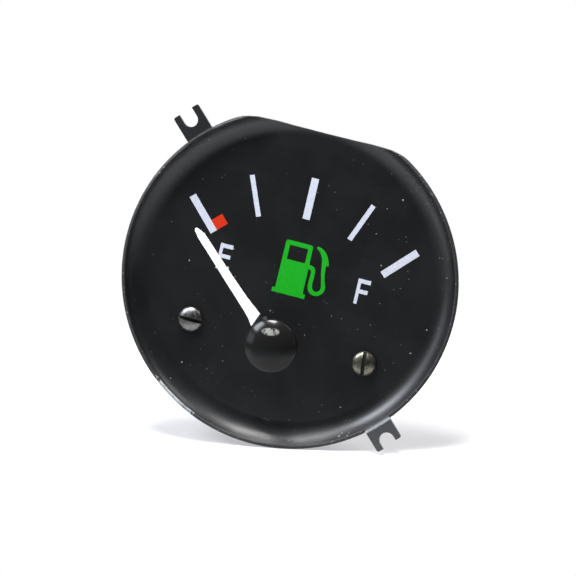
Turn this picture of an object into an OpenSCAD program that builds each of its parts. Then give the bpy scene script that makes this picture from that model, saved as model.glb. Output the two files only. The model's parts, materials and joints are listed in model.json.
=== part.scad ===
// Fuel gauge for an instrument cluster: a pressed dial pan with two forked ears,
// a crossed-coil magnetic movement in a shield can behind it, and a white pointer.
// Millimetres. X is to the right as the dial is read, Y runs back from the reader,
// Z is up on the dial. The origin is the centre of the pan on the plane where the
// backs of the two ears sit.

/* [Dial pan] */
// Outside diameter of the pan's rim
pan_d = 76.2; // [75.6:0.1:76.8]
// Thickness of the pan's steel sheet
sheet_t = 0.8; // [0.7:0.05:0.9]
// Radius of the rim's hollow, on the front surface
bend_r = 6; // [5.4:0.1:6.4]
// Slope of the rim where it ends, in degrees
edge_slope = 60; // [56:1:62]
// Height of the flat top edge above the pan's centre
top_edge = 33.45; // [33.05:0.1:33.85]
// Distance of the pointer's axis below the pan's centre
spindle_drop = 14.58; // [14.3:0.01:15]
// Distance of the pointer's axis to the right of the pan's centre
spindle_x = 0.16; // [0:0.01:0.4]

/* [Ears] */
// Direction of the line through both ears, in degrees from the right
ear_line = 135.2; // [134.2:0.2:136.2]
// Width of each forked ear
ear_w = 6.4; // [6:0.1:7]
// Radius of the upper ear's slot
slot_r = 1.67; // [1.5:0.01:1.8]
// Distance from the pan's centre to the tips of the upper ear
upper_ear_r = 44.05; // [43.05:0.1:45.05]
// Distance from the pan's centre to the shorter tip of the lower ear
lower_ear_r = 42.85; // [42.35:0.1:43.35]

/* [Pointer] */
// Length of the pointer from its axis to its tip
pointer_l = 31.1; // [29.5:0.1:31.5]
// Where the pointer rests, in degrees to the left of straight up
pointer_rest = 46.4; // [44:0.1:48]
// How far the pointer swings from stop to stop, in degrees
pointer_swing = 92.6; // [90:0.1:95]
// Diameter of the pointer's cap
cap_d = 11.9; // [11:0.1:12.5]
// Height of the cap
cap_h = 3.3; // [3.2:0.05:3.8]

/* [Movement] */
// Outside diameter of the shield can
can_d = 33; // [32.6:0.1:33.4]
// Half the distance between the two dial screws
screw_x = 20.2; // [20:0.1:20.6]
// Diameter of the dial screws' heads
head_d = 5.55; // [5.2:0.05:5.8]
// Radius of the terminal studs
stud_r = 2; // [1.9:0.05:2.05]
// Radius at the foot of the studs' threads, as they are inside the nuts
thread_core_r = 1.78; // [1.6:0.01:1.8]
// Distance of the terminal studs from the spindle's axis
stud_ring = 10.5; // [10.3:0.1:10.6]

/* [Hidden] */
$fn = 64;

pan_r = pan_d / 2;
e = 0.02;
// Depth of the main faces, back from the ears' seating plane
dial_y = 2.9;                    // front face of the dial
dial_back = dial_y + sheet_t;    // back face of the dial
plate_y = 8.2;                   // front face of the bridge plate
plate_t = 1.5;
can_front = plate_y + plate_t;
can_wall = 0.7;
can_back = 33.5;                 // outside of the can's base
board_t = 1.6;
board_back = can_back + board_t;
tag_t = 0.5;
nut_h = 3.2;
nut_af = 8.7;
washer_t = 0.8;
inner_nut_y = board_back + tag_t;
washer_y = inner_nut_y + nut_h;
outer_nut_y = washer_y + washer_t;
stud_end = outer_nut_y + nut_h + 5.6;
blade_y = -4.45;                 // back face of the pointer's blade
blade_t = 0.5;
spindle_r = 0.9;
journal_r = 0.6;
magnet_r = 7.4;
core_r = 9.3;

// The sheet's end, square to the slope there, with its two corners rounded off
edge_round = 0.2;
out_dir = [cos(edge_slope), sin(edge_slope)];
front_dir = [-sin(edge_slope), cos(edge_slope)];
flat_r = pan_r - edge_round - (sheet_t - edge_round + bend_r) * sin(edge_slope);
rim_end = [flat_r + bend_r * sin(edge_slope), bend_r * (1 - cos(edge_slope))];

// Places things on the spindle's axis: local z points forward from depth y
module at_y(y) translate([0, y, 0]) rotate([90, 0, 0]) children();
module on_spindle(y) translate([spindle_x, 0, -spindle_drop]) at_y(y) children();

// A round part on the spindle's axis from depth y0 back to y1
module turned(y0, y1, r) on_spindle(y1) cylinder(h = y1 - y0, r = r);

// Points of a rectangle with rounded corners, centred
function rounded(w, h, r, n = 5) = [for (q = [0:3]) for (i = [0:n])
  let (a = 90 * q + 90 * i / n, sx = (q == 0 || q == 3) ? 1 : -1, sy = (q < 2) ? 1 : -1)
  [sx * (w / 2 - r) + r * cos(a), sy * (h / 2 - r) + r * sin(a)]];

// The three terminal places round the spindle's axis: left, right and top
terminals = [[-stud_ring, 0], [stud_ring, 0], [0, stud_ring]];

// ---- dial pan ----

// Section of the pan, from the middle out: flat, hollow rim, rounded end of the sheet, and back again
hollow_front = [for (i = [0:12]) let (a = edge_slope * i / 12)
  [flat_r + bend_r * sin(a), bend_r * (1 - cos(a))]];
hollow_back = [for (i = [12:-1:0]) let (a = edge_slope * i / 12)
  [flat_r + (bend_r + sheet_t) * sin(a), bend_r - (bend_r + sheet_t) * cos(a)]];
front_corner = rim_end - edge_round * front_dir;
back_corner = rim_end - (sheet_t - edge_round) * front_dir;
sheet_end = concat(
  [for (i = [1:3]) front_corner + edge_round * (cos(30 * i) * front_dir + sin(30 * i) * out_dir)],
  [for (i = [0:2]) back_corner + edge_round * (cos(30 * i) * out_dir - sin(30 * i) * front_dir)]);
pan_section = concat([[0, 0]], hollow_front, sheet_end, hollow_back, [[0, -sheet_t]]);

// The flat top edge: nearly straight, with its ends eased into the round
top_half = [[0, 0], [7, 0.06], [11, 0.22], [15.5, 0.22], [17.3, -0.05], [18.8, -0.45], [20, -1.04], [22.4, -2.5]];
top_cut = concat([for (i = [7:-1:1]) [-top_half[i][0], top_edge + top_half[i][1]]],
  [for (p = top_half) [p[0], top_edge + p[1]]], [[24, 45], [-24, 45]]);

// Side view of an ear: it carries on up the rim's slope, bends over and runs out flat
ear_bend = 0.9;
ear_face = dial_y + sheet_t;
ear_c = rim_end - ear_bend * front_dir
  + (ear_face - rim_end[1] - ear_bend * (1 - cos(edge_slope))) / sin(edge_slope) * out_dir;
ear_front = concat([rim_end + [-0.08, -0.25]],
  [for (i = [0:4]) let (a = edge_slope * (1 - i / 4)) ear_c + ear_bend * [-sin(a), cos(a)]]);
ear_back = [[ear_c[0], dial_y], ear_c - (sheet_t - ear_bend) * front_dir, back_corner + [0.15, -0.08],
  back_corner + [-0.2, -0.25], rim_end + [-0.08, -0.5]];

// One forked ear, towards the angle; each prong has its own length
module ear(angle, tips, slot, slot_bottom) {
  far = max(tips) + 1;
  rotate([0, 0, angle]) intersection() {
    rotate([90, 0, 0]) linear_extrude(height = ear_w + 2, center = true)
      polygon(concat(ear_front, [[far, ear_face], [far, dial_y]], ear_back));
    linear_extrude(height = 12) difference() {
      polygon([[30, -ear_w / 2], [tips[0] - 0.3, -ear_w / 2], [tips[0], -ear_w / 2 + 0.3], [tips[0], 0],
        [tips[1], 0], [tips[1], ear_w / 2 - 0.3], [tips[1] - 0.3, ear_w / 2], [30, ear_w / 2]]);
      translate([slot_bottom + slot, 0]) circle(r = slot);
      translate([slot_bottom + slot, -slot]) square([10, 2 * slot]);
    }
  }
}

module dial_pan() color("#232425") at_y(dial_y) difference() {
  union() {
    difference() {
      rotate_extrude($fn = 128) polygon(pan_section);
      translate([0, 0, -2]) linear_extrude(height = 12) polygon(top_cut);
    }
    ear(ear_line, [upper_ear_r, upper_ear_r], slot_r, 40.2);
    ear(ear_line - 180, [lower_ear_r + 0.3, lower_ear_r], slot_r + 0.08, 40.1);
  }
  // relief notches beside each ear
  for (a = [ear_line, ear_line - 180], s = [-1, 1]) rotate([0, 0, a])
    translate([pan_r + 0.2, s * (ear_w / 2 + 0.42), 0]) cylinder(h = 8, r = 0.45);
  translate([spindle_x, -spindle_drop, -2]) cylinder(h = 4, r = 3);
  for (s = [-1, 1]) translate([spindle_x + s * screw_x, -spindle_drop, -2]) cylinder(h = 4, r = 1.6);
}

// Slotted pan-head screw, head forward, shank going back
module slotted_screw(head_r, head_h, shank_r, shank_l, slot_w, slot_a) {
  difference() {
    union() {
      rotate_extrude() polygon([[0, 0], [head_r, 0], [head_r, 0.3 * head_h], [0.97 * head_r, 0.46 * head_h],
        [0.87 * head_r, 0.62 * head_h], [0.7 * head_r, 0.77 * head_h], [0.5 * head_r, 0.89 * head_h],
        [0.25 * head_r, 0.97 * head_h], [0, head_h]]);
      translate([0, 0, -shank_l]) cylinder(h = shank_l + e, r = shank_r);
    }
    rotate([0, 0, slot_a]) translate([-head_r - 1, -slot_w / 2, 0.38 * head_h]) cube([2 * head_r + 2, slot_w, head_h]);
  }
}

module dial_screws() color("#8d8a7c") for (s = [-1, 1]) translate([s * screw_x, 0, 0])
  on_spindle(dial_y) slotted_screw(head_d / 2, 1.75, 1.42, 9.5, 0.85, s < 0 ? 0 : 95);

module dial_spacers() color("#b9bcbe") for (s = [-1, 1]) translate([s * screw_x, 0, 0])
  on_spindle(plate_y - e) difference() {
    cylinder(h = plate_y - dial_back - 2 * e, r = 3.2);
    translate([0, 0, -1]) cylinder(h = 8, r = 1.55);
  }

// ---- movement frame ----

tabs = [90, 210, 330];

module bridge_plate() color("#a8a598") on_spindle(can_front - e) difference() {
  linear_extrude(height = plate_t - e) {
    circle(r = can_d / 2 + 0.8);
    square([2 * screw_x, 10], center = true);
    for (s = [-1, 1]) translate([s * screw_x, 0]) circle(r = 5);
  }
  translate([0, 0, -1]) {
    cylinder(h = 4, r = 2.42);
    for (s = [-1, 1]) translate([s * screw_x, 0, 0]) cylinder(h = 4, r = 1.45);
    for (s = [-1, 1]) translate([s * 7.6, s * 7.6, 0]) cylinder(h = 4, r = 1.1);
    for (p = stop_places) translate([p[0], p[1], 0]) cylinder(h = 4, r = 0.62);
    for (a = tabs) rotate([0, 0, a]) translate([can_d / 2 - can_wall - 0.25, -2.7, 0]) cube([4, 5.4, 4]);
  }
}

// Brass bush in the bridge plate; the spindle runs in it
module front_bearing() color("#c9a24a") on_spindle(11.2) difference() {
  union() {
    cylinder(h = 3.4, r = 2.4);
    translate([0, 0, 3.02]) cylinder(h = 0.75, r = 3.4);
  }
  translate([0, 0, -1]) cylinder(h = 8, r = spindle_r + 0.05);
}

// The arm points away from the pointer; each pin stops it at one end of the swing
stop_ring = 5.4;
stop_gap = asin((0.8 + 0.6 + 0.06) / stop_ring);
arm_rest = 90 + pointer_rest + 180;
stop_places = [for (a = [arm_rest + stop_gap, arm_rest - pointer_swing - stop_gap])
  stop_ring * [cos(a), sin(a)]];

module stop_pins() color("#9a9a98") for (p = stop_places) translate([p[0], 0, p[1]])
  turned(4.6, can_front - 0.1, 0.6);

// ---- bobbin, coils and magnet ----

module bobbin_posts(y0, y1) for (sx = [-1, 1], sz = [-1, 1])
  translate([spindle_x + sx * 7.6 - 1.8, y0, sz * 7.6 - 1.8 - spindle_drop]) cube([3.6, y1 - y0, 3.6]);

module front_bobbin() color("#e8e2cf") difference() {
  union() {
    turned(15, 18.98, core_r);
    bobbin_posts(can_front + e, 16);
  }
  turned(16.4, 20, 8);
  turned(14, 17, 1.3);
  for (s = [-1, 1]) translate([s * 7.6, 0, s * 7.6]) turned(9, 15, 1);
  translate([-7.6, 0, 7.6]) turned(9, 14, 1.05);
}

module rear_bobbin() color("#e8e2cf") difference() {
  union() {
    turned(19, 23, core_r);
    turned(22.5, 24.6, 1.9);
    bobbin_posts(22, 31.9);
  }
  turned(18, 21.6, 8);
  turned(21, 25, 1.22);
}

module bobbin_screws() color("#8d8a7c") for (s = [-1, 1]) translate([s * 7.6, 0, s * 7.6])
  on_spindle(plate_y - e) slotted_screw(1.9, 1.2, 0.98, 6.4, 0.55, 30 * s);

// One half of a winding: a rounded rectangular loop, in the plane of the spindle
module winding(inner_w, inner_h, t, y_mid) translate([0, y_mid, 0]) linear_extrude(height = 3.4) difference() {
  polygon(rounded(inner_w + 2 * t, inner_h + 2 * t, 2.4));
  polygon(rounded(inner_w, inner_h, 0.6));
}

module inner_coil() color("#a5552a") for (z = [2.1, -5.5]) translate([spindle_x, 0, z - spindle_drop])
  winding(18.8, 8.2, 1.85, 19);

module outer_coil() color("#b0602e") for (x = [2.1, -5.5]) translate([spindle_x + x, 0, -spindle_drop])
  rotate([0, 90, 0]) winding(18.8, 12.2, 1.85, 19);

module rear_pivot_bearing() color("#c9a24a") difference() {
  turned(21.4, 24.5, 1.2);
  turned(21, 23.2, journal_r + 0.05);
}

module zero_return_magnet() color("#3c3c3e") translate([-7.6, 0, 7.6]) turned(9.9, 13.9, 1);

module coil_leads() color("#a5552a") translate([spindle_x, 0, -spindle_drop]) {
  for (s = [-1, 1]) translate([s * 10.2, 25, 2.4]) rotate([-90, 0, 0]) cylinder(h = 4.56, r = 0.22);
  translate([2.4, 27, 10.4]) rotate([-90, 0, 0]) cylinder(h = 2.56, r = 0.22);
}

// ---- can and terminals ----

module shield_can() color("#a8a598") difference() {
  union() {
    turned(can_front + e, can_back, can_d / 2);
    for (a = tabs) on_spindle(can_front + 1) rotate([0, 0, a]) {
      translate([can_d / 2 - can_wall, -2.5, 0]) cube([can_wall, 5, 1 + plate_t + 0.8]);
      translate([can_d / 2 - 3, -2.5, 1 + plate_t + 0.05]) cube([3, 5, 0.75]);
    }
  }
  turned(can_front - 0.01, can_back - can_wall, can_d / 2 - can_wall);
  for (p = terminals) translate([p[0], 0, p[1]]) turned(30, 36, 3.3);
}

// Fibre disc inside the can; its three collars keep the studs off the metal
module insulator_disc() color("#6e3b24") difference() {
  union() {
    turned(can_back - can_wall - 0.8, can_back - can_wall - e, can_d / 2 - can_wall - 0.2);
    for (p = terminals) translate([p[0], 0, p[1]]) turned(32.2, can_back - e, 3.2);
  }
  for (p = terminals) translate([p[0], 0, p[1]]) turned(30, 36, stud_r + 0.05);
}

module terminal_board() color("#7a4a26") on_spindle(board_back - e) difference() {
  linear_extrude(height = board_t - 2 * e) difference() {
    intersection() {
      circle(r = can_d / 2 - 0.6);
      translate([0, 2.2]) square([31, 24], center = true);
    }
    for (p = terminals) translate(p) circle(r = stud_r + 0.05);
  }
}

module terminal_studs() color("#c2a35a") for (p = terminals) translate([p[0], 0, p[1]]) {
  on_spindle(31.98) cylinder(h = 2.4, r = 3.2, $fn = 6);
  turned(31.9, outer_nut_y + nut_h + e, thread_core_r);
  turned(outer_nut_y + nut_h, stud_end - 0.5, stud_r);
  on_spindle(stud_end) cylinder(h = 0.52, r1 = stud_r - 0.45, r2 = stud_r);
}

// Solder tags on the left and right studs, with tails running down to the resistor
module solder_tags() color("#c8c9c4") for (s = [-1, 1]) translate([s * stud_ring, 0, 0])
  on_spindle(board_back + tag_t - e) linear_extrude(height = tag_t - 2 * e) difference() {
    union() {
      circle(r = 3.9);
      translate([-1.3, -8.4]) square([2.6, 8]);
    }
    circle(r = stud_r + 0.05);
    translate([0, -7.2]) circle(r = 0.55);
  }

module stud_washer() color("#b5b5b0") translate([0, 0, stud_ring])
  on_spindle(board_back + tag_t - e) difference() {
    cylinder(h = tag_t - 2 * e, r = 4.2);
    translate([0, 0, -1]) cylinder(h = 3, r = stud_r + 0.05);
  }

module hex_nut(y) on_spindle(y + nut_h) difference() {
  intersection() {
    cylinder(h = nut_h - e, r = nut_af / 2 / cos(30), $fn = 6);
    rotate_extrude() polygon([[0, 0], [nut_af / 2 - 0.05, 0], [nut_af / 2 + 0.75, 0.5],
      [nut_af / 2 + 0.75, nut_h - 0.5], [nut_af / 2 - 0.05, nut_h - e], [0, nut_h - e]]);
  }
  translate([0, 0, -1]) cylinder(h = nut_h + 2, r = thread_core_r + 0.05);
}

module inner_nuts() color("#c2a35a") for (p = terminals) translate([p[0], 0, p[1]]) hex_nut(inner_nut_y);
module outer_nuts() color("#c2a35a") for (p = terminals) translate([p[0], 0, p[1]]) hex_nut(outer_nut_y);

// Split spring washers
module lock_washers() color("#9c9c98") for (p = terminals) translate([p[0], 0, p[1]])
  on_spindle(outer_nut_y - e) difference() {
    cylinder(h = washer_t - 2 * e, r = 3.7);
    translate([0, 0, -1]) cylinder(h = 3, r = stud_r + 0.1);
    rotate([0, 0, 60]) translate([0, -0.25, -1]) cube([6, 0.5, 3]);
  }

module calibration_resistor() color("#d9d3c3") translate([spindle_x, 0, -7.6 - spindle_drop])
  translate([0, board_back + 0.25, 0]) rotate([90, 0, 90]) translate([0, 0, -5.8])
    linear_extrude(height = 11.6) polygon([[0, -2.1], [0.5, -2.5], [3.9, -2.5], [4.4, -2], [4.4, 2], [3.9, 2.5], [0.5, 2.5], [0, 2.1]]);

module resistor_leads() color("#c8c9c4") for (s = [-1, 1]) {
  translate([spindle_x + s * 5.82, board_back + 1.6, -7.2 - spindle_drop]) rotate([0, s * 90, 0]) cylinder(h = stud_ring - 5.82, r = 0.36);
  translate([s * stud_ring, 0, -7.2]) {
    turned(board_back + tag_t + e, board_back + 2.15, 0.5);
    turned(board_back + tag_t + e, board_back + tag_t + 0.3, 1.1);
  }
}

// ---- what turns with the pointer ----

// Pointer outline lying along local x: narrow to the tip, flaring near the hub, its two edges a little unlike
blade_up = [[6.15, 1.5], [6.9, 1.33], [8, 1.1], [10, 1], [14, 0.97], [18, 0.95], [22, 0.88], [pointer_l - 1.85, 0.83],
  [pointer_l - 1.5, 0.7], [pointer_l - 0.45, 0.58], [pointer_l, 0.3]];
blade_low = [[6.15, 1.5], [8, 1.46], [9, 1.34], [10, 1.24], [12, 1.08], [15, 1], [18, 0.92], [24, 0.87],
  [pointer_l - 2, 0.84], [pointer_l - 1.55, 0.6], [pointer_l - 1, 0.42], [pointer_l - 0.4, 0.2], [pointer_l, 0.02]];
blade = concat([for (p = blade_low) [p[0], -p[1]]], [for (i = [len(blade_up) - 1:-1:0]) blade_up[i]],
  [[6.15, 1.3], [0, 1.3], [0, -1.3], [6.15, -1.3]]);
// Side view of the blade: a stiffening thickness under it that runs out towards the tip
blade_side = [[-6, 0], [pointer_l + 1, 0], [pointer_l + 1, -blade_t], [24, -blade_t], [7.2, -blade_t - 0.5],
  [6.9, -blade_t], [-6, -blade_t]];

module along_pointer(y) on_spindle(y) rotate([0, 0, 90 + pointer_rest]) children();

module pointer() color("#f6f6f4") along_pointer(blade_y - blade_t) difference() {
  intersection() {
    translate([0, 0, -3]) linear_extrude(height = 4) {
      polygon(blade);
      circle(r = 3.8);
      translate([-5.5, -1.5]) square([5.5, 3]);
    }
    rotate([90, 0, 0]) linear_extrude(height = 10, center = true) polygon(blade_side);
  }
  translate([0, 0, -2]) cylinder(h = 3, r = spindle_r + 0.02);
}

// Button cap: an upright side, a small rounded edge and a low dome that meets it at dome_slope
dome_slope = 37;
cap_edge = 0.45;
cap_in = cap_d / 2 - cap_edge;
dome_r = (cap_in + cap_edge * sin(dome_slope)) / sin(dome_slope);
dome_c = cap_h - dome_r;
cap_side = dome_c + (dome_r - cap_edge) * cos(dome_slope);
module pointer_cap() color("#141414") on_spindle(blade_y - blade_t - e) difference() {
  rotate_extrude() polygon(concat([[0, 0], [cap_d / 2, 0]],
    [for (i = [0:5]) let (a = i / 5 * (90 - dome_slope)) [cap_in + cap_edge * cos(a), cap_side + cap_edge * sin(a)]],
    [for (i = [1:10]) let (a = dome_slope * (1 - i / 10)) [dome_r * sin(a), dome_c + dome_r * cos(a)]]));
  difference() {
    translate([0, 0, -1]) cylinder(h = 1.8, r = cap_d / 2 - 1);
    translate([0, 0, -2]) cylinder(h = 4, r = 2.2);
  }
  translate([0, 0, -1]) cylinder(h = 2.9, r = spindle_r + 0.02);
}

// Aluminium bush that carries the blade; a small tang shows beside the blade's root
module pointer_bush() color("#a9abad") {
  difference() {
    union() {
      turned(blade_y + e, -1.9, 2);
      along_pointer(blade_y + 0.4) linear_extrude(height = 0.4 - e) {
        circle(r = 3.4);
        rotate([0, 0, -15]) translate([0, -0.75]) square([6.5, 1.5]);
      }
    }
    turned(-6, 0, spindle_r + 0.02);
  }
}

module balance_weight() color("#c9a24a") along_pointer(blade_y + 1.3) translate([-4.6, 0, 0]) cylinder(h = 1.3 - e, r = 0.95);

module spindle() color("#c4c6c8") {
  turned(-6.6, 21, spindle_r);
  turned(20.9, 22.9, journal_r);
}

module stop_arm() color("#8f9193") difference() {
  on_spindle(6) union() {
    cylinder(h = 0.8, r = 2.2);
    rotate([0, 0, arm_rest]) translate([0, -0.8, 0]) cube([6.6, 1.6, 0.8]);
  }
  turned(4, 7, spindle_r + 0.02);
}

module thrust_washer() color("#e9e4d2") difference() {
  turned(11.3, 11.7, 2);
  turned(11, 12, spindle_r + 0.02);
}

module spindle_clip() color("#77797b") on_spindle(12.25) difference() {
  cylinder(h = 0.5, r = 1.8);
  translate([0, 0, -1]) cylinder(h = 3, r = spindle_r + 0.02);
  translate([0, -0.5, -1]) cube([4, 1, 3]);
}

module magnet_hub() color("#c9a24a") difference() {
  union() {
    turned(16.75, 20.95, 1.8);
    turned(16.75, 17.18, 3);
  }
  turned(16, 22, spindle_r + 0.02);
}

module rotor_magnet() color("#4a4a4c") difference() {
  turned(17.2, 20.8, magnet_r);
  turned(16, 22, 1.82);
}

dial_pan();
dial_screws();
dial_spacers();
bridge_plate();
front_bearing();
stop_pins();
front_bobbin();
rear_bobbin();
bobbin_screws();
inner_coil();
outer_coil();
rear_pivot_bearing();
zero_return_magnet();
shield_can();
insulator_disc();
terminal_board();
terminal_studs();
solder_tags();
stud_washer();
inner_nuts();
lock_washers();
outer_nuts();
calibration_resistor();
resistor_leads();
coil_leads();
pointer();
pointer_cap();
pointer_bush();
balance_weight();
spindle();
stop_arm();
thrust_washer();
spindle_clip();
magnet_hub();
rotor_magnet();
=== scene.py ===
import json
import math

import bmesh
import bpy
from mathutils import Matrix, Vector


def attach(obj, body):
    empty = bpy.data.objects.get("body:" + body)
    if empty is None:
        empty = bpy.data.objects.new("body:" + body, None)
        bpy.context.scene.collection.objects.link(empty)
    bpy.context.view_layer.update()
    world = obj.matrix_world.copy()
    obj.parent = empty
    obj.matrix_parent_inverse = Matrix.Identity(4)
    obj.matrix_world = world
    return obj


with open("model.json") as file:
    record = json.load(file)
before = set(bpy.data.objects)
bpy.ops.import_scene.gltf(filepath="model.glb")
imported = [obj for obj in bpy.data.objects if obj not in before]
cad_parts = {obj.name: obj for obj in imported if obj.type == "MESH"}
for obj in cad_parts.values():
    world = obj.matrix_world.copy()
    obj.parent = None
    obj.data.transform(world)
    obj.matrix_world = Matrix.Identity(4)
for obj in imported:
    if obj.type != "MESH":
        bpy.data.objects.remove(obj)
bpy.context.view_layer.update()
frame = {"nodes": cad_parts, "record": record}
N = frame["nodes"]
MM = 0.001
DIAL_Y = 2.9          # front face of the dial, mm behind the ears' seating plane
SPINDLE = (0.16, -14.58)   # the pointer's axis on the dial, mm
POINTER_AT = 136.4      # the pointer's direction at rest, degrees from the right
OFF = (0.16, 0.47)    # the printed layout's place on the pan, mm
FRAME_BODY = "gauge_frame"

scene = bpy.context.scene
scene.view_settings.view_transform = "Standard"
scene.view_settings.look = "None"


def dial(x, z, f=0.0):
    """A point given on the dial: x to the right, z up, f forward of the face, all in mm."""
    return Vector((x, DIAL_Y - f, z)) * MM


def turn(v):
    """A direction given as (right, up on the dial, forward) in the row frame."""
    return Vector((v[0], -v[2], v[1]))


# ---------------------------------------------------------------- camera

CAM_RIGHT = turn((0.96027, 0.22708, -0.16256))
CAM_UP = turn((-0.24630, 0.96240, -0.11458))
CAM_BACK = turn((0.13170, 0.15060, 0.97978))
CAM_DIST, PX_PER_MM, CENTRE = 1500.0, 4.4797, (292.61, 276.37)

CAM_BACK.normalize()
CAM_UP = (CAM_UP - CAM_BACK * CAM_UP.dot(CAM_BACK)).normalized()
CAM_RIGHT = CAM_UP.cross(CAM_BACK)
cam_data = bpy.data.cameras.new("camera")
camera = bpy.data.objects.new("camera", cam_data)
scene.collection.objects.link(camera)
cam_data.sensor_width = 36.0
cam_data.lens = 36.0 * PX_PER_MM * CAM_DIST / 576.0
cam_data.clip_start, cam_data.clip_end = 0.05, 20.0
off_x, off_y = (CENTRE[0] - 288.0) / PX_PER_MM, (288.0 - CENTRE[1]) / PX_PER_MM
cam_loc = dial(*OFF) + (CAM_BACK * CAM_DIST - CAM_RIGHT * off_x - CAM_UP * off_y) * MM
camera.matrix_world = Matrix.Translation(cam_loc) @ Matrix((CAM_RIGHT, CAM_UP, CAM_BACK)).transposed().to_4x4()
scene.camera = camera

# The real floor's upright: the camera looks down on it by 18 degrees
LOOK_DOWN = math.radians(18)
UP = (CAM_UP * math.cos(LOOK_DOWN) + CAM_BACK * math.sin(LOOK_DOWN)).normalized()
TOWARDS = (CAM_BACK - UP * CAM_BACK.dot(UP)).normalized()


# ---------------------------------------------------------------- node helpers

class Mat:
    """A small builder for one procedural material."""

    def __init__(self, name):
        self.m = bpy.data.materials.new(name)
        self.m.use_nodes = True
        self.t = self.m.node_tree
        self.b = self.t.nodes["Principled BSDF"]
        self.out = self.t.nodes["Material Output"]
        self.co = self.t.nodes.new("ShaderNodeTexCoord")

    def n(self, kind, **kw):
        node = self.t.nodes.new(kind)
        for k, v in kw.items():
            setattr(node, k, v)
        return node

    def l(self, a, b):
        self.t.links.new(a, b)

    def put(self, socket, value):
        if hasattr(value, "links") or isinstance(value, bpy.types.NodeSocket):
            self.l(value, socket)
        else:
            socket.default_value = value

    def set(self, **kw):
        names = {"color": "Base Color", "rough": "Roughness", "metal": "Metallic", "spec": "Specular IOR Level",
                 "coat": "Coat Weight", "coat_rough": "Coat Roughness", "normal": "Normal", "ior": "IOR",
                 "aniso": "Anisotropic", "sheen": "Sheen Weight", "sub": "Subsurface Weight", "emit": "Emission Strength"}
        for k, v in kw.items():
            if k == "color" and isinstance(v, (tuple, list)) and len(v) == 3:
                v = (*v, 1.0)
            self.put(self.b.inputs[names[k]], v)

    def noise(self, scale_mm, detail=3.0, rough=0.55, distort=0.0, vec=None):
        """Noise whose features are about scale_mm across; returns its factor."""
        node = self.n("ShaderNodeTexNoise")
        node.inputs["Scale"].default_value = 1.0 / (scale_mm * MM)
        node.inputs["Detail"].default_value = detail
        node.inputs["Roughness"].default_value = rough
        node.inputs["Distortion"].default_value = distort
        self.l(vec or self.co.outputs["Object"], node.inputs["Vector"])
        return node.outputs["Fac"]

    def voronoi(self, scale_mm, feature="F1", rand=1.0, vec=None):
        node = self.n("ShaderNodeTexVoronoi", feature=feature)
        node.inputs["Scale"].default_value = 1.0 / (scale_mm * MM)
        node.inputs["Randomness"].default_value = rand
        self.l(vec or self.co.outputs["Object"], node.inputs["Vector"])
        return node

    def math(self, op, a, b=0.0, c=0.0, clamp=False):
        node = self.n("ShaderNodeMath", operation=op, use_clamp=clamp)
        for i, v in enumerate((a, b, c)):
            self.put(node.inputs[i], v)
        return node.outputs[0]

    def ramp(self, fac, lo, hi, a=0.0, b=1.0, smooth=True):
        """Maps fac from lo..hi to a..b."""
        node = self.n("ShaderNodeMapRange", interpolation_type="SMOOTHSTEP" if smooth else "LINEAR")
        node.clamp = True
        self.put(node.inputs["Value"], fac)
        for k, v in (("From Min", lo), ("From Max", hi), ("To Min", a), ("To Max", b)):
            node.inputs[k].default_value = v
        return node.outputs["Result"]

    def mix(self, fac, a, b):
        node = self.n("ShaderNodeMix", data_type="RGBA")
        self.put(node.inputs["Factor"], fac)
        for s, v in (("A", a), ("B", b)):
            sock = [i for i in node.inputs if i.name == s and i.type == "RGBA"][0]
            if isinstance(v, (tuple, list)) and len(v) == 3:
                v = (*v, 1.0)
            self.put(sock, v)
        return [o for o in node.outputs if o.type == "RGBA"][0]

    def bump(self, height, strength, dist_mm, prev=None):
        node = self.n("ShaderNodeBump")
        node.inputs["Strength"].default_value = strength
        node.inputs["Distance"].default_value = dist_mm * MM
        self.l(height, node.inputs["Height"])
        if prev is not None:
            self.l(prev, node.inputs["Normal"])
        return node.outputs["Normal"]

    def xyz(self):
        node = self.n("ShaderNodeSeparateXYZ")
        self.l(self.co.outputs["Object"], node.inputs[0])
        return node.outputs

    def radius(self, cx=0.0, cz=0.0):
        """Distance in the dial's plane from (cx, cz), in mm."""
        s = self.xyz()
        dx = self.math("SUBTRACT", s[0], cx * MM)
        dz = self.math("SUBTRACT", s[2], cz * MM)
        return self.math("MULTIPLY", self.math("SQRT", self.math("ADD", self.math("MULTIPLY", dx, dx), self.math("MULTIPLY", dz, dz))), 1000.0)


def metal(name, color, rough, vary=0.12, tint=None, spot=None, brushed=0.0):
    m = Mat(name)
    big, fine = m.noise(6.0, 4), m.noise(0.35, 3)
    dark = tuple(c * (1 - vary) for c in color)
    light = tuple(min(1, c * (1 + vary)) for c in color)
    col = m.mix(m.ramp(big, 0.35, 0.65), dark, light)
    if tint:
        col = m.mix(m.ramp(m.noise(3.5, 5, 0.6, 0.8), 0.5, 0.75, 0, 0.6), col, tint)
    if spot:
        col = m.mix(m.ramp(m.noise(0.9, 5, 0.7), 0.6, 0.72, 0, 0.8), col, spot)
    m.set(color=col, metal=1.0, rough=m.ramp(fine, 0.3, 0.7, rough * 0.8, rough * 1.25))
    nrm = m.bump(fine, 0.25, 0.02)
    if brushed:
        w = m.n("ShaderNodeTexWave", wave_type="RINGS", rings_direction="Y")
        w.inputs["Scale"].default_value = 1.0 / (brushed * MM)
        w.inputs["Distortion"].default_value = 1.5
        w.inputs["Detail"].default_value = 3
        m.l(m.co.outputs["Object"], w.inputs["Vector"])
        nrm = m.bump(w.outputs["Fac"], 0.2, 0.015, nrm)
    m.set(normal=nrm)
    return m.m


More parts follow.
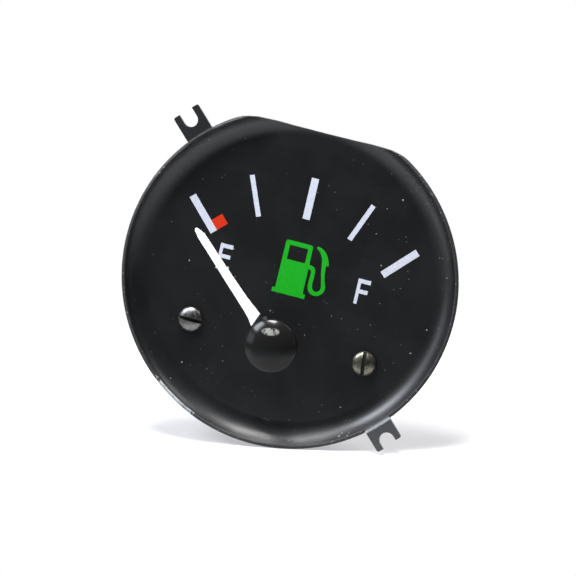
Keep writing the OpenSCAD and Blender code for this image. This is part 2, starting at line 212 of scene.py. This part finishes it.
def plastic(name, color, rough, vary=0.06, fine_mm=0.25, bump=0.15, spec=0.5):
    m = Mat(name)
    col = m.mix(m.ramp(m.noise(5.0, 4), 0.35, 0.65), tuple(c * (1 - vary) for c in color), tuple(c * (1 + vary) for c in color))
    m.set(color=col, rough=m.ramp(m.noise(2.0, 4), 0.35, 0.65, rough * 0.88, rough * 1.12), spec=spec,
          normal=m.bump(m.noise(fine_mm, 3), bump, 0.02))
    return m.m


# ---------------------------------------------------------------- materials

def dial_black():
    m = Mat("dial_black")
    s = m.xyz()
    r = m.radius()
    x, z = m.math("MULTIPLY", s[0], 1000.0), m.math("MULTIPLY", s[2], 1000.0)
    f = m.math("SUBTRACT", DIAL_Y, m.math("MULTIPLY", s[1], 1000.0))
    nz = m.n("ShaderNodeSeparateXYZ")
    m.l(m.co.outputs["Normal"], nz.inputs[0])
    up = nz.outputs[2]
    # how far out a point is along the rim's slope, from the sheet's cut end, in mm
    o = m.math("ADD", m.math("MULTIPLY", m.math("SUBTRACT", r, 37.38), 0.5), m.math("MULTIPLY", m.math("SUBTRACT", f, 3.0), 0.866))
    ear_across = m.math("ABSOLUTE", m.math("ADD", m.math("MULTIPLY", x, 0.7046), m.math("MULTIPLY", z, 0.7096)))
    ear = m.math("MULTIPLY", m.math("GREATER_THAN", o, 0.08), m.math("LESS_THAN", ear_across, 3.3))
    end = m.math("MULTIPLY", m.ramp(o, -0.26, -0.12), m.math("SUBTRACT", 1.0, ear))
    top = m.math("MULTIPLY", m.ramp(up, 0.72, 0.88), m.math("GREATER_THAN", z, 31.0))
    top = m.math("MULTIPLY", top, m.math("LESS_THAN", r, 37.7))
    cut = m.math("MAXIMUM", end, top)
    # satin enamel with a faint clouding
    base = m.mix(m.ramp(m.noise(14.0, 4), 0.35, 0.7), (0.0024, 0.0026, 0.0031), (0.0038, 0.0040, 0.0044))
    # painted light: the ears' enamel is made greyer than the dial's, and the lower-right ear lighter than the
    # upper-left, for how each ear catches the light
    ear_painted_light = m.mix(m.math("GREATER_THAN", x, 0.0), (0.010, 0.0103, 0.011), (0.042, 0.043, 0.046))
    base = m.mix(ear, base, ear_painted_light)
    # settled dust: sparse small specks, a few larger ones, and fine lint
    v = m.voronoi(2.3)
    keep = m.math("GREATER_THAN", m.math("FRACT", m.math("MULTIPLY", v.outputs["Color"], 7.31)), 0.62)
    size = m.ramp(m.noise(3.0, 2), 0.35, 0.7, 0.03, 0.085)
    speck = m.math("MULTIPLY", m.math("LESS_THAN", v.outputs["Distance"], size), keep)
    v2 = m.voronoi(0.8)
    keep2 = m.math("GREATER_THAN", m.math("FRACT", m.math("MULTIPLY", v2.outputs["Color"], 5.13)), 0.86)
    patch = m.ramp(m.noise(7.0, 3), 0.42, 0.62)
    speck2 = m.math("MULTIPLY", m.math("MULTIPLY", m.math("LESS_THAN", v2.outputs["Distance"], 0.12), keep2), patch)
    lint = m.ramp(m.noise(0.28, 6, 0.75), 0.735, 0.78)
    dust = m.math("MAXIMUM", m.math("MAXIMUM", m.math("MULTIPLY", speck, 0.8), m.math("MULTIPLY", speck2, 0.6)), m.math("MULTIPLY", lint, 0.3))
    dust = m.math("MULTIPLY", dust, m.math("SUBTRACT", 1.0, ear))
    col = m.mix(dust, base, (0.30, 0.29, 0.25))
    # the sheet's cut end: thinner, greyer enamel that is worn through in places
    col = m.mix(m.math("MULTIPLY", cut, m.ramp(m.noise(1.2, 4, 0.6), 0.3, 0.7, 0.35, 0.75)), col, (0.010, 0.010, 0.011))
    ang = m.math("ARCTAN2", z, x)
    knocked = m.math("MULTIPLY", m.ramp(ang, -2.32, -2.20), m.ramp(ang, -1.99, -1.93, 1.0, 0.0))
    chips = m.ramp(m.math("ADD", m.noise(0.45, 5, 0.65), m.math("MULTIPLY", knocked, 0.26)), 0.62, 0.68)
    chips = m.math("MULTIPLY", chips, m.math("MULTIPLY", end, m.ramp(m.noise(6.0, 2), 0.30, 0.55, 0.25, 1.0)))
    # painted highlight: a lighter, streaky line on the upward-facing face of the straight top cut, where the light from
    # above falls
    top_cut_painted_highlight = m.math("MULTIPLY", top, m.ramp(m.noise(0.9, 4, 0.6), 0.35, 0.6, 0.25, 0.9))
    # nicks along the rim at the lower right
    wob = m.math("MULTIPLY", m.math("SUBTRACT", m.noise(0.4, 3, 0.6), 0.5), 0.45)
    nicks = None
    for cx, cz, size_n in ((18.85, -31.50, 0.14), (19.29, -30.80, 0.08), (20.61, -30.84, 0.15), (20.86, -30.24, 0.09)):
        spot = m.ramp(m.math("ADD", m.radius(cx, cz), wob), size_n, size_n + 0.09, 1.0, 0.0)
        nicks = spot if nicks is None else m.math("MAXIMUM", nicks, spot)
    # a lighter, partly metallic line along the folds at the ears' roots, stronger on the right ear
    right = m.math("GREATER_THAN", x, 0.0)
    rr = m.math("SUBTRACT", r, m.math("MULTIPLY", right, 0.25))
    fold = m.math("MULTIPLY", m.math("MULTIPLY", m.ramp(rr, 37.62, 37.78), m.ramp(rr, 37.98, 38.14, 1.0, 0.0)), ear)
    fold = m.math("MULTIPLY", fold, m.ramp(m.noise(0.8, 4, 0.6), 0.3, 0.6, 0.45, 1.0))
    fold = m.math("MULTIPLY", fold, m.math("ADD", 0.35, m.math("MULTIPLY", right, 0.3)))
    # bare mixes the chips, the nicks, the fold lines and the top cut's painted highlight into one lighter, partly
    # metallic mark
    bare = m.math("MAXIMUM", m.math("MAXIMUM", m.math("MULTIPLY", chips, 0.95), m.math("MULTIPLY", top_cut_painted_highlight, 0.15)),
                  m.math("MAXIMUM", m.math("MULTIPLY", nicks, 0.28), m.math("MULTIPLY", fold, 0.8)), clamp=True)
    col = m.mix(bare, col, (0.42, 0.43, 0.45))
    m.set(color=col, metal=m.math("MULTIPLY", bare, 0.35),
          rough=m.math("ADD", m.ramp(m.noise(9.0, 4), 0.35, 0.65, 0.325, 0.365), m.math("MULTIPLY", m.math("MAXIMUM", m.math("MAXIMUM", dust, bare), end), 0.3)),
          spec=0.6)
    nrm = m.bump(m.noise(0.22, 3, 0.5), 0.36, 0.02)
    nrm = m.bump(m.noise(2.2, 3, 0.5), 0.12, 0.05, nrm)
    nrm = m.bump(m.math("ADD", dust, m.math("MULTIPLY", bare, -1.0)), 0.5, 0.03, nrm)
    m.set(normal=nrm)
    return m.m


def screw_plate():
    m = Mat("screw_plate")
    s = m.xyz()
    x, z = m.math("MULTIPLY", s[0], 1000.0), m.math("MULTIPLY", s[2], 1000.0)
    f = m.math("SUBTRACT", DIAL_Y, m.math("MULTIPLY", s[1], 1000.0))
    right = m.math("GREATER_THAN", x, 0.0)
    grey = m.mix(m.ramp(m.noise(1.6, 4, 0.6), 0.4, 0.62), (0.145, 0.141, 0.136), (0.215, 0.208, 0.20))
    gold = m.mix(m.ramp(m.noise(1.6, 4, 0.6), 0.4, 0.62), (0.125, 0.122, 0.096), (0.19, 0.185, 0.146))
    col = m.mix(right, grey, gold)
    col = m.mix(m.ramp(m.noise(0.7, 5, 0.7), 0.60, 0.70, 0, 0.6), col, (0.10, 0.09, 0.07))
    # painted shade: the slots are darkened in the colour and made less metallic, where shade falls in the recess
    ca, sa = math.cos(math.radians(95)), math.sin(math.radians(95))
    across_left = m.math("ABSOLUTE", m.math("SUBTRACT", z, SPINDLE[1]))
    dx = m.math("SUBTRACT", x, SPINDLE[0] + 20.2)
    dz = m.math("SUBTRACT", z, SPINDLE[1])
    across_right = m.math("ABSOLUTE", m.math("SUBTRACT", m.math("MULTIPLY", dz, ca), m.math("MULTIPLY", dx, sa)))
    across = m.math("ADD", m.math("MULTIPLY", right, across_right), m.math("MULTIPLY", m.math("SUBTRACT", 1.0, right), across_left))
    slot = m.math("MULTIPLY", m.ramp(across, 0.405, 0.44, 1.0, 0.0), m.ramp(f, 0.1, 0.2))
    # painted shade: the slot's recess darkened in the colour
    col = m.mix(slot, col, (0.018, 0.017, 0.011))
    m.set(color=col, metal=m.math("SUBTRACT", 1.0, m.math("MULTIPLY", slot, 0.75)),
          rough=m.math("ADD", m.ramp(m.noise(0.8, 4), 0.3, 0.7, 0.30, 0.42), m.math("MULTIPLY", slot, 0.4)),
          normal=m.bump(m.noise(0.9, 4, 0.6), 0.35, 0.05))
    return m.m


def winding_copper():
    m = Mat("copper_wire")
    w = m.n("ShaderNodeTexWave", wave_type="BANDS", bands_direction="DIAGONAL")
    w.inputs["Scale"].default_value = 1.0 / (0.16 * MM) / 3.0
    w.inputs["Distortion"].default_value = 0.6
    m.l(m.co.outputs["Object"], w.inputs["Vector"])
    col = m.mix(m.ramp(m.noise(1.5, 4), 0.3, 0.7), (0.42, 0.12, 0.035), (0.62, 0.22, 0.07))
    m.set(color=col, metal=0.85, rough=0.32, coat=0.5, normal=m.bump(w.outputs["Fac"], 0.8, 0.06))
    return m.m


def white_paint():
    m = Mat("pointer_white")
    s = m.xyz()
    x = m.math("SUBTRACT", m.math("MULTIPLY", s[0], 1000.0), SPINDLE[0])
    z = m.math("SUBTRACT", m.math("MULTIPLY", s[2], 1000.0), SPINDLE[1])
    ca, sa = math.cos(math.radians(POINTER_AT)), math.sin(math.radians(POINTER_AT))
    along = m.math("ADD", m.math("MULTIPLY", x, ca), m.math("MULTIPLY", z, sa))
    across = m.math("SUBTRACT", m.math("MULTIPLY", z, ca), m.math("MULTIPLY", x, sa))
    # the paint stops short of the hub on a slanting, uneven line
    line = m.math("ADD", m.math("ADD", along, m.math("MULTIPLY", across, 0.42)), m.math("MULTIPLY", m.math("SUBTRACT", m.noise(1.0, 3), 0.5), 0.5))
    bare = m.ramp(line, 6.60, 6.72, 1.0, 0.0)
    col = m.mix(m.ramp(m.noise(2.5, 4), 0.35, 0.7), (0.93, 0.935, 0.94), (0.98, 0.98, 0.98))
    col = m.mix(bare, col, (0.012, 0.012, 0.013))
    m.set(color=col, rough=m.ramp(m.noise(1.2, 3), 0.3, 0.7, 0.42, 0.55), spec=0.4, normal=m.bump(m.noise(0.3, 3), 0.12, 0.015))
    return m.m


def cap_black():
    m = Mat("cap_black")
    s = m.xyz()
    x, z = m.math("MULTIPLY", s[0], 1000.0), m.math("MULTIPLY", s[2], 1000.0)
    v = m.voronoi(1.1)
    keep = m.math("GREATER_THAN", m.math("FRACT", m.math("MULTIPLY", v.outputs["Color"], 5.7)), 0.86)
    speck = m.math("MULTIPLY", m.math("LESS_THAN", v.outputs["Distance"], 0.05), keep)
    # a scuffed patch on the upper part of the dome with a painted highlight: lighter colour where the overhead light's
    # reflection falls, broken into short streaks
    px, pz = m.math("SUBTRACT", x, SPINDLE[0] - 0.55), m.math("SUBTRACT", z, SPINDLE[1] + 3.35)
    ca, sa = math.cos(math.radians(10)), math.sin(math.radians(10))
    pa = m.math("ADD", m.math("MULTIPLY", px, ca), m.math("MULTIPLY", pz, sa))
    pb = m.math("SUBTRACT", m.math("MULTIPLY", pz, ca), m.math("MULTIPLY", px, sa))
    d = m.math("SQRT", m.math("ADD", m.math("POWER", m.math("DIVIDE", pa, 2.1), 2.0), m.math("POWER", m.math("DIVIDE", pb, 0.85), 2.0)))
    mp = m.n("ShaderNodeMapping")
    mp.inputs["Rotation"].default_value = (0, math.radians(-35), 0)
    mp.inputs["Scale"].default_value = (1.0, 1.0, 0.55)
    m.l(m.co.outputs["Object"], mp.inputs[0])
    streak = m.noise(0.75, 4, 0.6, 0.4, vec=mp.outputs[0])
    scuff_and_painted_highlight = m.math("MULTIPLY", m.ramp(d, 0.75, 1.1, 1.0, 0.0), m.ramp(streak, 0.44, 0.54))
    col = m.mix(m.math("MULTIPLY", speck, 0.8), (0.0085, 0.0085, 0.008), (0.2, 0.19, 0.17))
    # painted highlight: the scuffed patch is lightened in the colour
    col = m.mix(m.math("MULTIPLY", scuff_and_painted_highlight, 0.75), col, (0.26, 0.255, 0.235))
    m.set(color=col, rough=m.math("ADD", m.math("ADD", m.math("MULTIPLY", m.noise(0.9, 5, 0.7, 1.2), 0.14), 0.10), m.math("MULTIPLY", scuff_and_painted_highlight, 0.3)), spec=0.2,
          normal=m.bump(m.noise(1.2, 4, 0.6), 0.06, 0.03))
    return m.m


def phenolic():
    m = Mat("phenolic")
    mp = m.n("ShaderNodeMapping")
    mp.inputs["Scale"].default_value = (1, 1, 6)
    m.l(m.co.outputs["Object"], mp.inputs[0])
    grain = m.noise(0.9, 6, 0.65, vec=mp.outputs[0])
    col = m.mix(m.ramp(grain, 0.35, 0.65), (0.155, 0.066, 0.026), (0.235, 0.115, 0.048))
    m.set(color=col, rough=0.45, normal=m.bump(grain, 0.25, 0.03))
    return m.m


def print_ink(name, color, vary=0.05):
    """Screen-printed ink: flat, with faint mottling and tiny pinholes."""
    m = Mat(name)
    col = m.mix(m.ramp(m.noise(0.7, 4, 0.6), 0.35, 0.65), tuple(c * (1 - vary) for c in color), tuple(min(1, c * (1 + vary)) for c in color))
    m.set(color=col, rough=m.ramp(m.noise(1.0, 3), 0.3, 0.7, 0.45, 0.6), spec=0.18, normal=m.bump(m.noise(0.12, 3), 0.2, 0.01))
    return m.m


MATERIALS = {
    "dial_black": dial_black(),
    "screw_plate": screw_plate(),
    "yellow_zinc": metal("yellow_zinc", (0.50, 0.46, 0.36), 0.34, 0.1, tint=(0.56, 0.45, 0.25), spot=(0.30, 0.27, 0.20)),
    "spacer_aluminium": metal("spacer_aluminium", (0.66, 0.67, 0.68), 0.3, brushed=0.2),
    "turned_brass": metal("turned_brass", (0.66, 0.47, 0.19), 0.26, 0.1, spot=(0.34, 0.21, 0.08), brushed=0.25),
    "steel": metal("steel", (0.47, 0.47, 0.46), 0.3, 0.1, spot=(0.2, 0.19, 0.17)),
    "nylon": plastic("nylon", (0.66, 0.61, 0.47), 0.42),
    "copper_wire": winding_copper(),
    "magnet": plastic("magnet", (0.05, 0.05, 0.055), 0.5, 0.15, 0.3, 0.4),
    "fibre": plastic("fibre", (0.22, 0.075, 0.035), 0.6, 0.12, 0.3, 0.35),
    "phenolic": phenolic(),
    "tinned": metal("tinned", (0.62, 0.62, 0.60), 0.36, 0.08, spot=(0.38, 0.37, 0.35)),
    "resistor_ceramic": plastic("resistor_ceramic", (0.62, 0.57, 0.46), 0.75, 0.08, 0.25, 0.5, 0.3),
    "pointer_white": white_paint(),
    "cap_black": cap_black(),
    "bush_aluminium": metal("bush_aluminium", (0.60, 0.61, 0.62), 0.32, brushed=0.2),
}
node_slot = {s["node"]: s["material_slot"] for s in frame["record"]["subparts"]}
for name, obj in N.items():
    mat = MATERIALS[node_slot[name]]
    for sl in obj.material_slots:
        sl.material = mat
    if not obj.material_slots:
        obj.data.materials.append(mat)
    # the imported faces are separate: join them and let curved bands shade as one surface
    w = obj.modifiers.new("weld", "WELD")
    w.merge_threshold = 2e-6
    es = obj.modifiers.new("edges", "EDGE_SPLIT")
    es.use_edge_angle, es.use_edge_sharp, es.split_angle = True, False, math.radians(32)
    wn = obj.modifiers.new("normals", "WEIGHTED_NORMAL")
    wn.mode, wn.weight, wn.keep_sharp = "FACE_AREA", 50, False


# ---------------------------------------------------------------- printed marks

INK = 0.03  # thickness of the ink, mm


def smooth_loop(points, steps=6):
    """A closed loop through the points on a smooth curve."""
    out, n = [], len(points)
    for i in range(n):
        p0, p1, p2, p3 = (Vector(points[(i + k) % n]) for k in (-1, 0, 1, 2))
        for s in range(steps):
            t = s / steps
            out.append(0.5 * (2 * p1 + (p2 - p0) * t + (2 * p0 - 5 * p1 + 4 * p2 - p3) * t * t + (3 * p1 - p0 - 3 * p2 + p3) * t ** 3))
    return [(v[0], v[1]) for v in out]


def smooth_line(points, steps=6):
    """An open run of points on a smooth curve."""
    out, n = [], len(points)
    for i in range(n - 1):
        p0, p1, p2, p3 = (Vector(points[min(max(i + k, 0), n - 1)]) for k in (-1, 0, 1, 2))
        for s in range(steps):
            t = s / steps
            out.append(0.5 * (2 * p1 + (p2 - p0) * t + (2 * p0 - 5 * p1 + 4 * p2 - p3) * t * t + (3 * p1 - p0 - 3 * p2 + p3) * t ** 3))
    return [(v[0], v[1]) for v in out] + [tuple(points[-1])]


def soften(points, r, n=4):
    """Rounds every corner of a polygon by radius r; r may be a list, one per corner."""
    out, k = [], len(points)
    for i in range(k):
        a, b, c = (Vector(points[(i + j) % k]) for j in (-1, 0, 1))
        ri = r[i] if isinstance(r, (list, tuple)) else r
        u, v = (a - b).normalized(), (c - b).normalized()
        half = u.angle(v) / 2
        cut = min(ri / math.tan(half), (a - b).length * 0.45, (c - b).length * 0.45)
        p, q = b + u * cut, b + v * cut
        for s in range(n + 1):
            t = s / n
            w = p.lerp(b, t).lerp(b.lerp(q, t), t)
            out.append((w[0], w[1]))
    return out


def printed(name, loops, mat, off=(OFF[0] + 0.135, OFF[1] - 0.08)):
    """A flat print on the dial from closed loops of (x, z) points in mm; inner loops are holes."""
    cu = bpy.data.curves.new(name, "CURVE")
    cu.dimensions, cu.fill_mode = "2D", "BOTH"
    cu.extrude = INK / 2 * MM
    for loop in loops:
        sp = cu.splines.new("POLY")
        sp.points.add(len(loop) - 1)
        for p, (x, z) in zip(sp.points, loop):
            p.co = ((x + off[0]) * MM, (z + off[1]) * MM, 0, 1)
        sp.use_cyclic_u = True
    tmp = bpy.data.objects.new(name + "_curve", cu)
    scene.collection.objects.link(tmp)
    dg = bpy.context.evaluated_depsgraph_get()
    me = bpy.data.meshes.new_from_object(tmp.evaluated_get(dg))
    bpy.data.objects.remove(tmp)
    y = (DIAL_Y - INK / 2) * MM
    for v in me.vertices:
        x, z, h = v.co
        v.co = (x, y - h, z)
    bm = bmesh.new()
    bm.from_mesh(me)
    bmesh.ops.remove_doubles(bm, verts=bm.verts, dist=1e-7)
    bmesh.ops.recalc_face_normals(bm, faces=bm.faces)
    bm.to_mesh(me)
    bm.free()
    me.name = name
    me.materials.clear()
    me.materials.append(mat)
    ob = bpy.data.objects.new(name, me)
    scene.collection.objects.link(ob)
    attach(ob, FRAME_BODY)
    return ob


ink_white = print_ink("ink_white", (0.462, 0.480, 0.545))
ink_green = print_ink("ink_green", (0.006, 0.29, 0.009))
ink_red = print_ink("ink_red", (0.47, 0.022, 0.003))

TICK_STEP = 21.92
for k, (label, width) in enumerate((("empty", 1.66), ("quarter", 1.10), ("half", 1.66), ("three_quarter", 1.10), ("full", 1.66))):
    a = math.radians(90 + TICK_STEP * (2 - k))
    u, v = Vector((math.cos(a), math.sin(a))), Vector((-math.sin(a), math.cos(a)))
    c = Vector(SPINDLE)
    pts = [c + u * r + v * w for r, w in ((28.27, width / 2), (28.27, -width / 2), (37.70, -width / 2), (37.70, width / 2))]
    printed("mark_" + label, [soften([tuple(p) for p in pts], 0.07, 3)], ink_white, (0, 0))

# the reserve square beside the empty mark
a = math.radians(90 + 2 * TICK_STEP)
u, v = Vector((math.cos(a), math.sin(a))), Vector((math.sin(a), -math.cos(a)))
c = Vector(SPINDLE)
pts = [c + u * r + v * w for r, w in ((28.46, 0.86), (31.02, 0.86), (31.02, 3.70), (28.46, 3.70))]
printed("reserve_square", [soften([tuple(p) for p in pts], 0.07, 3)], ink_red, (0.13, -0.15))

letter_e = [(-17.55, 3.45), (-14.62, 3.45), (-14.62, 2.52), (-16.82, 2.52), (-16.82, 1.08), (-14.80, 1.08), (-14.80, 0.18),
            (-16.82, 0.18), (-16.82, -1.46), (-14.55, -1.46), (-14.55, -2.36), (-17.55, -2.36)]
printed("letter_empty", [soften(letter_e, 0.05, 2)], ink_white)
letter_f = [(14.48, 3.38), (17.38, 3.38), (17.38, 2.44), (15.22, 2.44), (15.22, 1.02), (17.12, 1.02), (17.12, 0.10),
            (15.22, 0.10), (15.22, -2.36), (14.48, -2.36)]
printed("letter_full", [soften(letter_f, 0.05, 2)], ink_white)

pump_body = soften([(-3.32, 7.90), (2.88, 7.90), (2.95, 3.45), (2.95, -3.22), (3.55, -3.22), (3.55, -4.25), (-4.08, -4.25),
                    (-4.08, -3.22), (-3.42, -3.22)], [0.55, 0.65, 0.01, 0.05, 0.22, 0.12, 0.12, 0.22, 0.05], 6)
window = soften([(-2.32, 6.88), (1.92, 6.88), (1.88, 3.58), (-2.30, 3.58)], 0.09, 3)
printed("pump_body", [pump_body, window], ink_green)
inner = smooth_line([(2.95, 3.50), (3.45, 3.49), (3.95, 3.36), (4.32, 3.02), (4.53, 2.45), (4.60, 1.6), (4.60, 0.4), (4.58, -0.5),
                     (4.64, -1.1), (4.86, -1.62), (5.22, -1.94), (5.62, -2.03), (6.05, -1.90), (6.42, -1.58), (6.60, -1.15),
                     (6.62, -0.72), (6.50, -0.1), (6.30, 0.7), (6.10, 1.6), (5.90, 2.6), (5.74, 3.6), (5.60, 4.6), (5.42, 5.4),
                     (5.12, 6.15), (4.68, 6.78), (4.22, 7.25), (3.82, 7.52)], 4)
nozzle = smooth_line([(3.70, 7.72), (3.86, 7.93), (4.25, 7.97), (4.85, 7.83), (5.55, 7.40), (6.20, 6.75), (6.68, 6.02), (6.98, 5.30),
                      (7.16, 4.70), (7.22, 4.28)], 4)
outer = smooth_line([(6.98, 4.12), (6.70, 4.34), (6.68, 3.7), (6.76, 2.8), (6.88, 1.8), (7.08, 0.9), (7.36, 0.12), (7.56, -0.5),
                     (7.58, -1.1), (7.36, -1.8), (6.92, -2.38), (6.32, -2.80), (5.68, -2.97), (5.06, -2.92), (4.48, -2.66),
                     (4.02, -2.2), (3.74, -1.6), (3.64, -0.85), (3.66, 0.4), (3.69, 1.7), (3.60, 2.22), (3.34, 2.48), (2.95, 2.53)], 4)
printed("pump_hose", [inner + nozzle + outer], ink_green)


# ---------------------------------------------------------------- floor

def lowest(direction):
    best = None
    for o in N.values():
        for v in o.data.vertices:
            d = v.co.dot(direction)
            best = d if best is None or d < best else best
    return best


floor_level = lowest(UP)
right = CAM_RIGHT
bm = bmesh.new()
centre = dial(*OFF)
centre = centre + UP * (floor_level - centre.dot(UP)) - TOWARDS * 0.012 + right * 0.008
rings, segs = 14, 72
verts = [[bm.verts.new(centre + (right * math.cos(2 * math.pi * j / segs) * 0.092 + TOWARDS * math.sin(2 * math.pi * j / segs) * 0.088) * (i / rings) ** 1.0)
          for j in range(segs)] for i in range(1, rings + 1)]
mid = bm.verts.new(centre)
for j in range(segs):
    bm.faces.new((mid, verts[0][j], verts[0][(j + 1) % segs]))
    for i in range(rings - 1):
        bm.faces.new((verts[i][j], verts[i + 1][j], verts[i + 1][(j + 1) % segs], verts[i][(j + 1) % segs]))
bmesh.ops.recalc_face_normals(bm, faces=bm.faces)
bm.faces.ensure_lookup_table()
if bm.faces[0].normal.dot(UP) < 0:
    bmesh.ops.reverse_faces(bm, faces=bm.faces)
fme = bpy.data.meshes.new("floor")
bm.to_mesh(fme)
bm.free()
floor = bpy.data.objects.new("floor", fme)
scene.collection.objects.link(floor)
fm = Mat("floor_white")
fm.t.nodes.remove(fm.b)
diffuse = fm.n("ShaderNodeBsdfDiffuse")
diffuse.inputs["Color"].default_value = (0.385, 0.38, 0.38, 1)
clear = fm.n("ShaderNodeBsdfTransparent")
blend = fm.n("ShaderNodeMixShader")
d = fm.n("ShaderNodeVectorMath", operation="SUBTRACT")
fm.l(fm.co.outputs["Object"], d.inputs[0])
d.inputs[1].default_value = centre
dr = fm.n("ShaderNodeVectorMath", operation="DOT_PRODUCT")
dt = fm.n("ShaderNodeVectorMath", operation="DOT_PRODUCT")
for node, axis in ((dr, right / 0.092), (dt, TOWARDS / 0.088)):
    fm.l(d.outputs[0], node.inputs[0])
    node.inputs[1].default_value = axis
q = fm.math("SQRT", fm.math("ADD", fm.math("MULTIPLY", dr.outputs["Value"], dr.outputs["Value"]), fm.math("MULTIPLY", dt.outputs["Value"], dt.outputs["Value"])))
# the floor is one-sided, so it doesn't hide the gauge from below its level
under = fm.n("ShaderNodeNewGeometry")
fm.l(fm.math("MULTIPLY", fm.ramp(q, 0.62, 0.98, 1.0, 0.0), fm.math("SUBTRACT", 1.0, under.outputs["Backfacing"])), blend.inputs[0])
fm.l(clear.outputs[0], blend.inputs[1])
# the far room's light that reaches under the gauge too
fill = fm.n("ShaderNodeEmission")
fill.inputs["Color"].default_value = (0.96, 0.965, 1.0, 1)
fill.inputs["Strength"].default_value = 0.45
lift = fm.n("ShaderNodeAddShader")
fm.l(diffuse.outputs[0], lift.inputs[0])
fm.l(fill.outputs[0], lift.inputs[1])
fm.l(lift.outputs[0], blend.inputs[2])
fm.l(blend.outputs[0], fm.out.inputs["Surface"])
fme.materials.append(fm.m)

# ---------------------------------------------------------------- light

world = bpy.data.worlds.new("studio")
scene.world = world
world.use_nodes = True
wt = world.node_tree
wt.nodes.clear()


def wn_(kind, **kw):
    node = wt.nodes.new(kind)
    for k, v in kw.items():
        setattr(node, k, v)
    return node


def wramp(value, stops):
    """A smooth curve through (value, brightness) stops; value runs from -1 to 1."""
    mr = wn_("ShaderNodeMapRange")
    wt.links.new(value, mr.inputs["Value"])
    mr.inputs["From Min"].default_value, mr.inputs["From Max"].default_value = -1.0, 1.0
    cr = wn_("ShaderNodeValToRGB")
    cr.color_ramp.interpolation = "EASE"
    while len(cr.color_ramp.elements) < len(stops):
        cr.color_ramp.elements.new(0.5)
    for el, (pos, val) in zip(cr.color_ramp.elements, stops):
        el.position = (pos + 1) / 2
        el.color = (val * 0.95, val, val * 1.07, 1)
    wt.links.new(mr.outputs["Result"], cr.inputs["Fac"])
    return cr.outputs["Color"]


tc = wn_("ShaderNodeTexCoord")
dot_up, dot_to = (wn_("ShaderNodeVectorMath", operation="DOT_PRODUCT") for _ in range(2))
for node, axis in ((dot_up, UP), (dot_to, TOWARDS)):
    wt.links.new(tc.outputs["Generated"], node.inputs[0])
    node.inputs[1].default_value = axis
front_side = wramp(dot_up.outputs["Value"], [(-1.0, 1.0), (-0.62, 1.15), (-0.40, 1.15), (-0.20, 0.42), (-0.05, 0.05), (0.50, 0.03), (0.80, 0.15), (1.0, 0.4)])
back_side = wramp(dot_up.outputs["Value"], [(-1.0, 0.85), (-0.2, 0.7), (0.3, 0.5), (1.0, 0.35)])
side = wn_("ShaderNodeMapRange", interpolation_type="SMOOTHSTEP")
wt.links.new(dot_to.outputs["Value"], side.inputs["Value"])
for k, v in (("From Min", -0.35), ("From Max", 0.12), ("To Min", 0.0), ("To Max", 1.0)):
    side.inputs[k].default_value = v
mixer = wn_("ShaderNodeMix", data_type="RGBA")
wt.links.new(side.outputs["Result"], mixer.inputs["Factor"])
ab = [i for i in mixer.inputs if i.type == "RGBA"]
wt.links.new(back_side, ab[0])
wt.links.new(front_side, ab[1])
lit = wn_("ShaderNodeBackground")
wt.links.new([o for o in mixer.outputs if o.type == "RGBA"][0], lit.inputs["Color"])
lit.inputs["Strength"].default_value = 1.0
plain = wn_("ShaderNodeBackground")
plain.inputs["Color"].default_value = (1, 1, 1, 1)
plain.inputs["Strength"].default_value = 1.0
path = wn_("ShaderNodeLightPath")
pick = wn_("ShaderNodeMixShader")
wt.links.new(path.outputs["Is Camera Ray"], pick.inputs[0])
wt.links.new(lit.outputs[0], pick.inputs[1])
wt.links.new(plain.outputs[0], pick.inputs[2])
out = wn_("ShaderNodeOutputWorld")
wt.links.new(pick.outputs[0], out.inputs["Surface"])


def softbox(name, elevation, azimuth, dist, width, height, radiance, color=(1, 1, 1)):
    """An area light aimed at the dial: elevation above the floor, azimuth to the right of the camera, in degrees."""
    e, a = math.radians(elevation), math.radians(azimuth)
    flat_right = TOWARDS.cross(UP) * -1
    direction = (TOWARDS * math.cos(a) + flat_right * math.sin(a)) * math.cos(e) + UP * math.sin(e)
    la = bpy.data.lights.new(name, "AREA")
    la.shape, la.size, la.size_y = "RECTANGLE", width, height
    la.energy = radiance * math.pi * width * height
    la.color = color
    ob = bpy.data.objects.new(name, la)
    scene.collection.objects.link(ob)
    z = direction.normalized()
    x = UP.cross(z)
    x = x.normalized() if x.length > 1e-3 else flat_right
    y = z.cross(x)
    ob.matrix_world = Matrix.Translation(dial(0, -8) + z * dist) @ Matrix((x, y, z)).transposed().to_4x4()
    return ob


softbox("key_overhead", 81, -40, 0.55, 0.19, 0.19, 56.0)
softbox("left_high", 46, -77, 0.60, 0.18, 0.26, 24.0, (0.94, 1.0, 1.1))
softbox("left_far", 14, -78, 0.80, 0.30, 0.30, 2.4, (0.94, 1.0, 1.1))
softbox("left_low", -20, -82, 0.80, 0.36, 0.26, 0.7)
softbox("right_high", 50, 90, 0.60, 0.17, 0.17, 9.0)
softbox("right_back", 48, 130, 0.60, 0.20, 0.20, 12.0)
